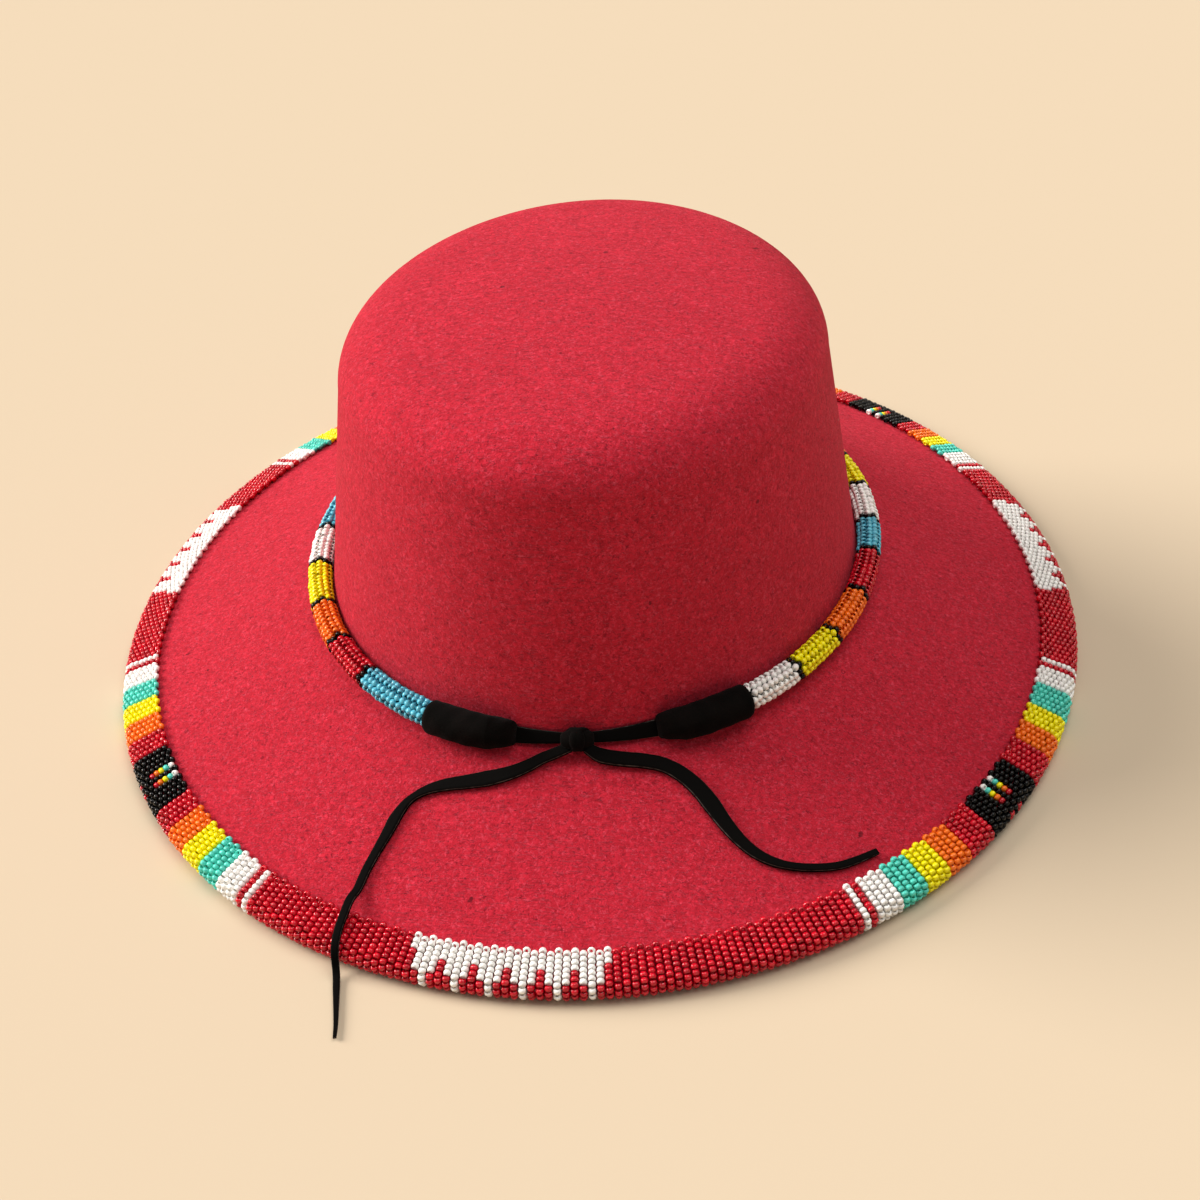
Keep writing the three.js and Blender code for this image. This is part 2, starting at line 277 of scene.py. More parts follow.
def closed_loft(rings):
    """Points and faces of a closed solid through rings that turn the same way."""
    sides = len(rings[0])
    points = [p for ring in rings for p in ring]
    faces = ring_faces(len(rings), sides)
    for start in (0, (len(rings) - 1) * sides):
        ring = range(start, start + sides)
        centre = sum((points[i] for i in ring), Vector()) / sides
        points.append(centre)
        pole = len(points) - 1
        for i in range(sides):
            pair = (start + i, start + (i + 1) % sides)
            faces.append((pair[1], pair[0], pole) if start == 0 else (*pair, pole))
    return points, faces


def dress(piece, replaced):
    """Puts a finished piece on the hat's one body, in the place of its CAD node."""
    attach(piece, BODY)
    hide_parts(replaced)


# Materials


def new_material(name):
    material = bpy.data.materials.new(name)
    material.use_nodes = True
    tree = material.node_tree
    tree.nodes.clear()
    shader = add_node(tree, "ShaderNodeBsdfPrincipled")
    add_node(tree, "ShaderNodeOutputMaterial", {"Surface": shader.outputs["BSDF"]})
    return material, tree, shader


def noise(tree, place, scale, detail, roughness, distortion=0.0):
    """Cloudy noise on the piece's own coordinates: its scale is in features to the metre."""
    return add_node(tree, "ShaderNodeTexNoise", {
        "Vector": place, "Scale": scale, "Detail": detail, "Roughness": roughness,
        "Distortion": distortion}).outputs["Fac"]


def band(tree, value, low, high):
    """Stretches a span of values to run from 0 to 1."""
    return add_node(tree, "ShaderNodeMapRange", {
        "Value": value, "From Min": low, "From Max": high}).outputs["Result"]


def blend_colours(tree, share, first, second):
    """Mixes two colours, each an sRGB hex value, a linear colour or a socket."""
    # A Mix node has its share at socket 0 and its colours at 6 and 7.
    first, second = (linear(tone) if isinstance(tone, str) else tone for tone in (first, second))
    mix = add_node(tree, "ShaderNodeMix", {0: share, 6: first, 7: second}, data_type="RGBA")
    return mix.outputs[2]


def relief(tree, height, strength, distance):
    """Fine unevenness of a surface, up to a distance in metres."""
    return add_node(tree, "ShaderNodeBump", {
        "Height": height, "Strength": strength, "Distance": distance}).outputs["Normal"]


# Hairs to the metre along a hair and across it, and how the three lots of hairs are turned.
HAIR_SCALE = (260.0, 2600.0, 2600.0)
HAIR_TURNS = ((0.3, 0.2, 0.5), (1.1, 0.7, 2.1), (0.6, 1.9, 3.6))
# The felt's noises: features to the metre, detail, roughness and distortion.
FELT_NOISES = {
    "dye": (34.0, 3.0, 0.55, 0.0),
    "blotch": (300.0, 4.0, 0.6, 0.0),
    "tuft": (720.0, 4.0, 0.7, 0.7),
    "pale_tuft": (900.0, 3.0, 0.65, 0.9),
    "fleck": (850.0, 3.0, 0.65, 1.2),
    "burr": (210.0, 1.0, 0.5, 0.0),
}
# Darker tones under the dye, in turn: what each follows, and the span in which the dye comes in.
# The last, None, is the scene's own dark felt colour.
DYE_TONES = (
    ("dye", (0.34, 0.66), "CC263A"),
    ("blotch", (0.3, 0.72), "B61E30"),
    ("tuft", (0.34, 0.62), None),
)
# Tones laid over the dye in turn: what it follows, the span in which it comes in, its share of
# the colour there, and its sRGB hex value. The hairs come in over the whole of their own span.
FELT_TONES = (
    ("pale_tuft", (0.52, 0.72), 0.4, "EE5C74"),
    ("pale_hair", None, 0.22, "E8667A"),
    ("dark_hair", None, 0.4, "6E1424"),
    ("fleck", (0.55, 0.68), 0.8, "780F20"),
    ("burr", (0.785, 0.8), 0.7, "4A0E18"),
)


def hair(tree, place, turn):
    """Single hairs about 4 mm long that lie one way."""
    laid = add_node(tree, "ShaderNodeMapping", {
        "Vector": place, "Rotation": turn, "Scale": HAIR_SCALE})
    strand = noise(tree, laid.outputs["Vector"], 1.0, 2.0, 0.5, distortion=0.9)
    return band(tree, strand, 0.63, 0.7)


def wool_felt(colours):
    """Wool felt, fulled and dyed: a short nap of crossing fibres that scatters light.

    The dye takes unevenly over 30 mm and over 3 mm. Dark and pale tufts show at about 1 mm,
    and single hairs lie across them: real ones are 0.03 mm, too fine for the render, so
    they are drawn 0.4 mm wide. A few burrs of 1 mm are left in the wool.
    """
    material, tree, shader = new_material("wool_felt")
    place = add_node(tree, "ShaderNodeTexCoord").outputs["Object"]
    cloud = {name: noise(tree, place, *recipe) for name, recipe in FELT_NOISES.items()}
    first, second, cloud["dark_hair"] = [hair(tree, place, turn) for turn in HAIR_TURNS]
    cloud["pale_hair"] = calc(tree, "MAXIMUM", first, second)
    body = colours.felt
    for name, span, tone in DYE_TONES:
        share = band(tree, cloud[name], *span)
        body = blend_colours(tree, share, tone or colours.felt_dark, body)
    for name, span, part, tone in FELT_TONES:
        share = band(tree, cloud[name], *span) if span else cloud[name]
        body = blend_colours(tree, calc(tree, "MULTIPLY", share, part), body, tone)
    fibres = calc(tree, "ADD", cloud["tuft"], cloud["pale_hair"])
    fill(tree, shader, {
        "Base Color": body, "Normal": relief(tree, fibres, 0.7, 0.8 * MM), "Roughness": 0.97,
        "Specular IOR Level": 0.15, "Sheen Weight": 0.22, "Sheen Roughness": 0.5,
        "Sheen Tint": linear("F06A78")})
    return material


GLASS_IOR = 1.52


def seed_bead_glass(name, hex_value, roughness, spread, gloss):
    """Pressed seed-bead glass, opaque and fire polished: each bead differs a little in tone."""
    material, tree, shader = new_material(name)
    base = linear(hex_value)
    shade = add_node(tree, "ShaderNodeAttribute", attribute_name="shade").outputs["Fac"]
    tones = [tuple(min(1.0, c * grow) for c in base[:3]) + (1.0,)
             for grow in (1 - spread, 1 + spread / 2)]
    fill(tree, shader, {
        "Base Color": blend_colours(tree, shade, *tones), "Roughness": roughness,
        "IOR": GLASS_IOR, "Specular IOR Level": gloss})
    return material


# The leather's noises: features to the metre, detail and roughness.
SUEDE_NAP = (1400.0, 5.0, 0.7)
SUEDE_RUB = (160.0, 3.0, 0.5)
LACE_GRAIN = (700.0, 4.0, 0.6)


def black_suede(colours):
    """Split leather with a short nap, dyed black: matte, and it swallows nearly all light."""
    material, tree, shader = new_material("black_suede")
    place = add_node(tree, "ShaderNodeTexCoord").outputs["Object"]
    nap = noise(tree, place, *SUEDE_NAP)
    rubbed = band(tree, noise(tree, place, *SUEDE_RUB), 0.4, 0.8)
    tone = blend_colours(tree, rubbed, colours.suede, "100C0B")
    fill(tree, shader, {
        "Base Color": tone, "Normal": relief(tree, nap, 0.5, 0.4 * MM), "Roughness": 0.95,
        "Specular IOR Level": 0.05, "Sheen Weight": 0.02, "Sheen Roughness": 0.4})
    return material


def cut_suede_lace(colours):
    """The same leather cut into lace: its grain side is smoother, and a pale highlight is painted
    along its upper cut edges.
    """
    material, tree, shader = new_material("cut_suede_lace")
    place = add_node(tree, "ShaderNodeTexCoord").outputs["Object"]
    grain = noise(tree, place, *LACE_GRAIN)
    # Painted highlight: a pale line along the lace's upper edges, broken up by the grain.
    edge = add_node(tree, "ShaderNodeAttribute", attribute_name="edge").outputs["Fac"]
    edge_highlight = band(tree, calc(tree, "MULTIPLY", edge, grain), 0.25, 0.6)
    tone = blend_colours(tree, edge_highlight, colours.suede, "5C5450")
    fill(tree, shader, {
        "Base Color": tone, "Normal": relief(tree, grain, 0.3, 0.3 * MM), "Roughness": 0.7,
        "Specular IOR Level": 0.03})
    return material


def shared(context, make):
    """A material that is made once, under the name of what makes it, for several pieces."""
    return bpy.data.materials.get(make.__name__) or make(context.scene.hat_colours)


# Felt

SHOULDER_SOFTNESS = 0.56  # how far the shoulder's handles reach, as shares of its rounding
BRIM_STEPS = 30
FELT_SIDES = 300


def felt_profile(form):
    """Both faces of the felt, from the underside's middle round the edge to the top's middle."""
    sizes = form.sizes
    wall = -sizes.felt / 2
    top = form.brim_z(wall) + sizes.crown_height
    core = form.core - form.mean + wall
    shoulder = Vector((wall - sizes.crown_taper, top - sizes.top_rise - sizes.shoulder_depth))
    dome_slope = 2 * sizes.top_rise / (form.core + wall)
    soft_x = SHOULDER_SOFTNESS * sizes.shoulder_reach
    soft_z = SHOULDER_SOFTNESS * sizes.shoulder_depth
    start = wall + sizes.bend
    corner_z = form.brim_z(start) + sizes.bend * math.tan(form.brim_angle(start))
    # Each curve's control points, from the top's middle to the brim, and its steps.
    curves = [
        ([(-form.mean, top), ((core - form.mean) / 2, top), (core, top - sizes.top_rise)], 14),
        ([(core, top - sizes.top_rise),
          (core + soft_x, top - sizes.top_rise - dome_slope * soft_x),
          (shoulder.x, shoulder.y + soft_z), tuple(shoulder)], 20),
        ([tuple(shoulder), (wall, corner_z + sizes.bend)], 18),
        ([(wall, corner_z + sizes.bend), (wall, corner_z), (start, form.brim_z(start))], 8),
    ]
    middle = []
    for controls, steps in curves:
        for i in range(steps):
            middle.append(bezier([Vector(c) for c in controls], i / steps))
    for i in range(BRIM_STEPS + 1):
        offset = start + (form.edge - start) * i / BRIM_STEPS
        slope = form.brim_angle(offset)
        middle.append((Vector((offset, form.brim_z(offset))),
                       Vector((math.cos(slope), -math.sin(slope)))))
    upper, lower = [], []
    for point, along in middle:
        across = Vector((-along.y, along.x)).normalized() * sizes.felt / 2
        upper.append(point + across)
        lower.append(point - across)
    upper[0].x = lower[0].x = -form.mean
    return lower + upper[::-1]


def bezier(controls, share):
    """Point and direction on a curve of any degree."""
    points = list(controls)
    while len(points) > 2:
        points = [a.lerp(b, share) for a, b in zip(points, points[1:])]
    return points[0].lerp(points[1], share), points[1] - points[0]


class HAT_OT_felt(bpy.types.Operator):
    """Blocks the crown and brim from one piece of wool felt"""

    bl_idname = "hat.felt"
    bl_label = "Felt body"

    def execute(self, context):
        form = hat_form(context)
        profile = felt_profile(form)
        sides = FELT_SIDES
        angles, lengths = form.girth(form.edge)
        even = np.interp(np.linspace(0, lengths[-1], sides, endpoint=False), lengths, angles)
        points = []
        for p in profile[1:-1]:
            radius = p.x + form.mean
            offset = max(radius, form.core) - form.mean
            share = min(radius / form.core, 1)
            for angle in even:
                placed = form.point(angle, offset, p.y)
                points.append(Vector((placed.x * share, placed.y * share, placed.z)))
        faces = ring_faces(len(profile) - 2, sides)
        last = (len(profile) - 3) * sides
        points += [Vector((0, 0, profile[0].y)), Vector((0, 0, profile[-1].y))]
        under, over = len(points) - 2, len(points) - 1
        for i in range(sides):
            faces.append(((i + 1) % sides, i, under))
            faces.append((last + i, last + (i + 1) % sides, over))
        piece = new_piece("felt_hat_body", points, faces, shared(context, wool_felt))
        dress(piece, "felt_body")
        return {"FINISHED"}


# Seed beads

BEAD_COLOURS = ("red", "white", "turquoise", "yellow", "orange", "black", "blue")

# The brim's columns, from the left end of the front panel and on round by the +X side: the
# kinds of column in each quarter, in order, and how many of each the four quarters have.
BRIM_KINDS = (
    "panel", "red", "white", "red", "white", "turquoise", "yellow", "orange", "red", "night",
    "red", "orange", "yellow", "turquoise", "white", "red", "white", "red",
)
BRIM_COUNTS = (
    (25, 31, 1, 1, 4, 4, 4, 4, 5, 11, 5, 4, 4, 5, 4, 1, 1, 17),
    (25, 10, 1, 1, 4, 3, 3, 3, 3, 11, 4, 4, 4, 4, 4, 1, 1, 6),
    (25, 5, 1, 1, 4, 4, 4, 4, 4, 11, 4, 4, 4, 4, 4, 1, 1, 14),
    (25, 16, 1, 1, 4, 4, 4, 4, 4, 11, 4, 4, 4, 4, 4, 1, 1, 23),
)
# White beads down each column of a panel: red shows beyond them.
PANEL_WHITE = (3,) + (6, 9, 6, 4) * 5 + (6, 9, 6) + (3,)
# Columns of a night block that carry colours, and their colours from the inner edge.
NIGHT_RAINBOW = (4, 6)
RAINBOW = ("white", "turquoise", "yellow", "orange", "red", "black", "black", "red")
INNER_LEAN = math.radians(40)  # the thread dives into the felt through the innermost beads
INNER_LEAN_SPAN = (0.5, 1.3)
FRONT_SHIFT = -1.3 * MM  # the front panel's middle lies a little left of the hat's
SEWN_WANDER = 0.05 * MM
BRIM_BEAD_SPREAD = 0.02  # share by which the beads of the brim differ in size

# The rope's bands of colour from its right end, round the back, in millimetres.
ROPE_BANDS = (20.2, 20.8, 21.9, 23.8, 17.6, 21.6) + (20.06,) * 13 + (20.1, 21.9, 23.1, 20.1, 22.3)
ROPE_ORDER = ("white", "yellow", "orange", "red", "blue")
ROPE_PITCH = 1.124  # beads of the rope stand this many lengths apart along it
ROPE_LEAN_WANDER = math.radians(10)
ROPE_WANDER = (0.13 * MM, 0.09 * MM)  # along the rope and outwards
ROPE_BEAD_SPREAD = 0.035
ROPE_TUCK = 0.15  # degrees that the beads end short of the wraps' rims
ROPE_CORE = 0.72  # how far under the rope's outside its core lies, in bead diameters
CORE_RINGS, CORE_SIDES = 260, 12


def brim_columns():
    """The kind of each column and its place within its block."""
    return [(kind, i) for counts in BRIM_COUNTS for kind, count in zip(BRIM_KINDS, counts)
            for i in range(count)]


def bead_colour(kind, place, row):
    """Colour of a bead, with its row counted from the inner edge of the beads."""
    if kind == "panel":
        return "white" if row < PANEL_WHITE[place] else "red"
    if kind == "night":
        return RAINBOW[row] if place in NIGHT_RAINBOW and row < len(RAINBOW) else "black"
    return kind


def section_point(form, share_length, straight):
    """Bead centre, hole direction and outward direction, along the section round the edge."""
    height = form.bead_height
    turn_length = math.pi * height
    if share_length < straight or share_length > straight + turn_length:
        under = share_length > straight
        run = share_length - straight - turn_length if under else straight - share_length
        side = -1 if under else 1
        offset = form.edge + (form.inner - form.edge) * run / straight
        slope = form.brim_angle(offset)
        across = (side * math.sin(slope), side * math.cos(slope))
        centre = form.brim_point(offset, side * height)
    else:
        turn = math.pi / 2 - form.sizes.edge_tilt - (share_length - straight) / height
        across = (math.cos(turn), math.sin(turn))
        centre = (form.edge + height * across[0], form.edge_z + height * across[1])
    along = (across[1], -across[0])
    return centre, along, across


def column_angles(form, count):
    """Angles of even columns round the edge, and their pitch."""
    angles, lengths = form.girth(form.edge)
    pitch = lengths[-1] / count
    first = FRONT_SHIFT - (BRIM_COUNTS[0][0] - 1) / 2 * pitch
    return np.interp((first + np.arange(count) * pitch) % lengths[-1], lengths, angles), pitch


def brim_beads(form):
    """Centre, hole and outward directions, size, colour and face of every bead on the brim."""
    kinds = brim_columns()
    angles, column_pitch = column_angles(form, len(kinds))
    size = column_pitch / form.beads.diameter
    ends = [form.brim_point(offset, form.bead_height) for offset in (form.inner, form.edge)]
    straight = math.dist(*ends)
    rows = form.beads.rows
    pitch = (2 * straight + math.pi * form.bead_height) / rows
    random.seed(form.beads.seed)
    found = []
    for column, (kind, place) in enumerate(kinds):
        odd = column % 2
        for j in range(rows - odd):
            run = (j + 0.5 + 0.5 * odd) * pitch + random.gauss(0, SEWN_WANDER)
            (offset, z), along, across = section_point(form, run, straight)
            outward = form.outward(angles[column])
            centre = form.point(angles[column], offset, z)
            jitter = random.gauss(0, SEWN_WANDER)
            normal = outward * across[0] + Vector((0, 0, across[1]))
            centre += normal * jitter
            own = size * random.gauss(1.0, BRIM_BEAD_SPREAD)
            centre.z = max(centre.z, form.beads.diameter * own / 2)
            hole = outward * along[0] + Vector((0, 0, along[1]))
            if j == 0:
                lean = INNER_LEAN * random.uniform(*INNER_LEAN_SPAN)
                hole = hole * math.cos(lean) + normal * math.sin(lean)
            tone = bead_colour(kind, place, min(j, rows - odd - 1 - j))
            face = "_under" if j > rows // 2 else "_top"
            found.append((centre, hole, normal, own, tone, face))
    return found


def rope_line(form):
    """Angles and lengths of the rope's middle, from its right end round the back."""
    offset, z = form.corner_seat(form.sizes.rope_radius, form.sizes.rope_radius)
    right, left = WRAPS["right_wrap"][0], WRAPS["left_wrap"][0]
    angles, lengths = form.girth(offset, right + ROPE_TUCK, left + 360 - ROPE_TUCK)
    return angles, lengths, offset, z


def rope_beads(form):
    """The same for every bead on the rope, which has no faces to tell apart."""
    angles, lengths, offset, z = rope_line(form)
    beads = form.beads
    rows = int(lengths[-1] / (ROPE_PITCH * beads.rope_length))
    pitch = lengths[-1] / rows
    ends = np.cumsum(ROPE_BANDS) * MM
    rings = {int(round(end / pitch - 0.5)) for end in ends}
    reach = form.sizes.rope_radius - beads.rope_diameter / 2
    random.seed(beads.seed + 1)
    found = []
    for row in range(rows):
        run = (row + 0.5) * pitch
        band = int(np.searchsorted(ends, run))
        tone = "black" if row in rings else ROPE_ORDER[band % len(ROPE_ORDER)]
        for column in range(beads.rope_round):
            side = 1 if column % 2 else -1
            place = run + 0.25 * side * pitch + random.gauss(0, ROPE_WANDER[0])
            angle = float(np.interp(place, lengths, angles))
            outward = form.outward(angle)
            tangent = Vector((-(form.sizes.half_width + offset) * math.sin(angle),
                              (form.sizes.half_length + offset) * math.cos(angle), 0)).normalized()
            level = Vector((tangent.y, -tangent.x, 0))
            turn = 2 * math.pi * (column + 0.5) / beads.rope_round
            normal = level * math.cos(turn) + Vector((0, 0, math.sin(turn)))
            centre = form.point(angle, offset, z)
            centre += normal * (reach + random.gauss(0, ROPE_WANDER[1]))
            lean = side * beads.tilt + random.gauss(0, ROPE_LEAN_WANDER)
            hole = Matrix.Rotation(lean, 3, normal) @ tangent
            size = random.gauss(1.0, ROPE_BEAD_SPREAD)
            found.append((centre, hole, normal, size, tone, ""))
    return found


# How far beads are turned at random from their places, in radians, the last round the hole.
BEAD_TURNS = ((-0.07, -0.07, 0.0), (0.07, 0.07, 6.3))
# Facets round a bead and round its glass, by the face of the brim: the rope has none.
BEAD_SIDES = {"_top": (8, 5), "_under": (7, 4), "": (8, 5)}


def bead_tree():
    """Geometry Nodes: one bead at every point, turned by the point's attributes."""
    tree = bpy.data.node_groups.new("seed_beads", "GeometryNodeTree")
    face = tree.interface
    face.new_socket("Beads", in_out="OUTPUT", socket_type="NodeSocketGeometry")
    face.new_socket("Places", in_out="INPUT", socket_type="NodeSocketGeometry")
    for name in ("Diameter", "Length", "Hole"):
        face.new_socket(name, in_out="INPUT", socket_type="NodeSocketFloat")
    for name in ("Sides", "Section sides", "Seed"):
        face.new_socket(name, in_out="INPUT", socket_type="NodeSocketInt")
    face.new_socket("Glass", in_out="INPUT", socket_type="NodeSocketMaterial")
    given = add_node(tree, "NodeGroupInput").outputs
    # The glass is an oval section swept round the hole: a quarter of the sum of the bead's and
    # the hole's diameters from the middle, and half of it lies to each side of that.
    ring = calc(tree, "MULTIPLY", calc(tree, "ADD", given["Diameter"], given["Hole"]), 0.25)
    wall = calc(tree, "MULTIPLY", calc(tree, "SUBTRACT", given["Diameter"], given["Hole"]), 0.25)
    half = calc(tree, "MULTIPLY", given["Length"], 0.5)
    hoop = add_node(tree, "GeometryNodeCurvePrimitiveCircle", {
        "Resolution": given["Sides"], "Radius": ring})
    disc = add_node(tree, "GeometryNodeCurvePrimitiveCircle", {
        "Resolution": given["Section sides"], "Radius": 1.0})
    shape = add_node(tree, "ShaderNodeCombineXYZ", {0: wall, 1: half, 2: 1.0})
    section = add_node(tree, "GeometryNodeTransform", {
        "Geometry": disc.outputs["Curve"], "Scale": shape.outputs[0]})
    bead = add_node(tree, "GeometryNodeCurveToMesh", {
        "Curve": hoop.outputs["Curve"], "Profile Curve": section.outputs["Geometry"]})
    hole, out, size = (
        add_node(tree, "GeometryNodeInputNamedAttribute", {"Name": name}, data_type=kind)
        .outputs["Attribute"]
        for name, kind in (("hole", "FLOAT_VECTOR"), ("out", "FLOAT_VECTOR"), ("size", "FLOAT")))
    turn = add_node(tree, "FunctionNodeAxesToRotation", {
        "Primary Axis": hole, "Secondary Axis": out}, primary_axis="Z", secondary_axis="X")
    wide = add_node(tree, "ShaderNodeCombineXYZ", {0: size, 1: size, 2: 1.0})
    spread = add_node(tree, "GeometryNodeInstanceOnPoints", {
        "Points": given["Places"], "Instance": bead.outputs["Mesh"],
        "Rotation": turn.outputs["Rotation"], "Scale": wide.outputs[0]})
    uneven = add_node(tree, "FunctionNodeRandomValue", {
        "Min": BEAD_TURNS[0], "Max": BEAD_TURNS[1], "Seed": given["Seed"]},
        data_type="FLOAT_VECTOR")
    lean = add_node(tree, "GeometryNodeRotateInstances", {
        "Instances": spread.outputs["Instances"], "Rotation": uneven.outputs["Value"]})
    tone = add_node(tree, "FunctionNodeRandomValue", {"Seed": given["Seed"]}, data_type="FLOAT")
    kept = add_node(tree, "GeometryNodeStoreNamedAttribute", {
        "Geometry": lean.outputs["Instances"], "Name": "shade", "Value": tone.outputs[1]},
        data_type="FLOAT", domain="INSTANCE")
    real = add_node(tree, "GeometryNodeRealizeInstances", {"Geometry": kept.outputs["Geometry"]})
    smooth = add_node(tree, "GeometryNodeSetShadeSmooth", {"Geometry": real.outputs["Geometry"]})
    glazed = add_node(tree, "GeometryNodeSetMaterial", {
        "Geometry": smooth.outputs["Geometry"], "Material": given["Glass"]})
    add_node(tree, "NodeGroupOutput", {"Beads": glazed.outputs["Geometry"]})
    return tree


def string_beads(name, places, glass, measures, sides, seed):
    """Runs the bead tree on a list of places and keeps the result as a plain mesh."""
    mesh = bpy.data.meshes.new(name + "_places")
    mesh.from_pydata([tuple(p[0]) for p in places], [], [])
    for key, index in (("hole", 1), ("out", 2)):
        attribute = mesh.attributes.new(key, "FLOAT_VECTOR", "POINT")
        attribute.data.foreach_set("vector", [c for p in places for c in p[index]])
    attribute = mesh.attributes.new("size", "FLOAT", "POINT")
    attribute.data.foreach_set("value", [p[3] for p in places])
    holder = show(name + "_places", mesh)
    tree = bpy.data.node_groups.get("seed_beads") or bead_tree()
    modifier = holder.modifiers.new("Beads", "NODES")
    modifier.node_group = tree
    values = dict(zip(("Diameter", "Length", "Hole", "Sides", "Section sides", "Seed", "Glass"),
                      (*measures, *sides, seed, glass)))
    for item in tree.interface.items_tree:
        if item.in_out == "INPUT" and item.name in values:
            modifier[item.identifier] = values[item.name]
    holder.update_tag()
    graph = bpy.context.evaluated_depsgraph_get()
    result = bpy.data.meshes.new_from_object(holder.evaluated_get(graph))
    result.name = name
    piece = show(name, result)
    bpy.data.objects.remove(holder)
    bpy.data.meshes.remove(mesh)
    return piece


# Each glass: its name, roughness, spread of tone between beads, and specular level.
GLASS = {
    "red": ("ruby_seed_bead_glass", 0.16, 0.3, 0.5),
    "white": ("chalk_seed_bead_glass", 0.28, 0.08, 0.4),
    "turquoise": ("turquoise_seed_bead_glass", 0.24, 0.2, 0.45),
    "yellow": ("lemon_seed_bead_glass", 0.26, 0.12, 0.4),
    "orange": ("orange_seed_bead_glass", 0.24, 0.16, 0.45),
    "black": ("jet_seed_bead_glass", 0.14, 0.3, 0.22),
    "blue": ("sky_seed_bead_glass", 0.24, 0.22, 0.45),
}


def bead_glass(context, tone):
    name, *finish = GLASS[tone]
    hex_value = getattr(context.scene.hat_colours, tone)
    return bpy.data.materials.get(name) or seed_bead_glass(name, hex_value, *finish)


def sew_beads(context, stem, places, measures, seed, replaced):
    """Strings the beads of each colour and face as a piece of their own."""
    for tone in BEAD_COLOURS:
        for face, sides in BEAD_SIDES.items():
            chosen = [place for place in places if place[4:] == (tone, face)]
            if chosen:
                glass = bead_glass(context, tone)
                piece = string_beads(f"{stem}_{tone}{face}", chosen, glass, measures, sides, seed)
                dress(piece, replaced)


class HAT_OT_brim_beads(bpy.types.Operator):
    """Sews the columns of seed beads over both faces of the brim's edge"""

    bl_idname = "hat.brim_beads"
    bl_label = "Brim beads"

    def execute(self, context):
        form = hat_form(context)
        beads = form.beads
        sew_beads(context, "brim_beads", brim_beads(form),
                  (beads.diameter, beads.length, beads.hole), beads.seed,
                  "brim_bead_edge")
        return {"FINISHED"}


class HAT_OT_rope_beads(bpy.types.Operator):
    """Stitches the herringbone rope of seed beads round the foot of the crown"""

    bl_idname = "hat.rope_beads"
    bl_label = "Hatband rope"

    def execute(self, context):
        form = hat_form(context)
        beads = form.beads
        sew_beads(context, "rope_beads", rope_beads(form),
                  (beads.rope_diameter, beads.rope_length, beads.hole), beads.seed + 1,
                  "hatband_rope")
        self.core(context, form)
        return {"FINISHED"}

    def core(self, context, form):
        """The dark cord that the beads are stitched round."""
        angles, lengths, offset, z = rope_line(form)
        radius = form.sizes.rope_radius - form.beads.rope_diameter * ROPE_CORE
        rings = []
        for run in np.linspace(0, lengths[-1], CORE_RINGS):
            angle = float(np.interp(run, lengths, angles))
            centre = form.point(angle, offset, z)
            outward = form.outward(angle)
            rings.append([centre + outward * radius * math.cos(t)
                          + Vector((0, 0, radius * math.sin(t)))
                          for t in np.linspace(0, 2 * math.pi, CORE_SIDES, endpoint=False)])
        points, faces = closed_loft(rings)
        core = new_piece("rope_core", points, faces, shared(context, black_suede))
        dress(core, "hatband_rope")


# Suede tie

# Sections of a wrap, from the rope to the lace, as shares of its radius.
WRAP_SECTIONS = (
    (0.0, 0.84, 0.84), (0.015, 0.95, 0.95), (0.05, 1.0, 1.0), (0.5, 0.98, 1.02),
    (0.74, 0.9, 1.0), (0.92, 0.66, 0.86), (0.98, 0.56, 0.76), (1.0, 0.42, 0.62),
)
# The tie's pieces, by the degrees round the crown that they lie between.
WRAPS = {"left_wrap": (-112.8, -95.6), "right_wrap": (-51.2, -68.8)}
LACES = {"left_lace": (-95.4, -87.4), "right_lace": (-80.2, -69.0)}
LACE_TUCK = 1.6  # degrees that a lace runs on inside the wrap and the knot
LACE_BROAD = 5.4 * MM
LACE_TAPER = 0.42  # share of its width that a lace loses by the knot
LACE_LEAN = math.radians(-62)
LACE_TWIST = math.radians(14)  # how far it turns on its way to the knot
KNOT_SPAN = (-86.9, -80.7)
KNOT_DEPTH = 7.2 * MM
KNOT_HEIGHT = 7.4 * MM
KNOT_HEART = 0.86  # the heart's size, as a share of the knot's
KNOT_END = 0.45  # its size at the knot's ends, as a share of that in the middle
KNOT_FULLNESS = 0.55
KNOT_SWEEP = 0.6  # where on its way round a turn of the lace lies furthest along, in radians
KNOT_TURN_END = 0.62
KNOT_TURNS = ((0.4, 0.16), (0.62, -0.17))  # middle and slant, in shares of the knot's length
KNOT_TURN_WIDTH = 0.34  # share of the knot's length
KNOT_TURN_THICKNESS = 1.3 * MM
# Rings along each piece of the tie, and points round the knot's pieces.
WRAP_RINGS, LACE_RINGS, KNOT_RINGS, KNOT_TURN_RINGS = 90, 30, 36, 48
KNOT_SIDES, KNOT_TURN_SIDES = 28, 12
# Unevenness of a wrap: waves round it, how far they wind along it, and their height.
WRAP_PLEATS = (5, 9, 0.03)
WRAP_CREASES = (3, -30, 0.012)
# The pleats come in over the first third of a wrap and deepen along it from this share.
WRAP_DRAW = (1 / 3, 0.3)

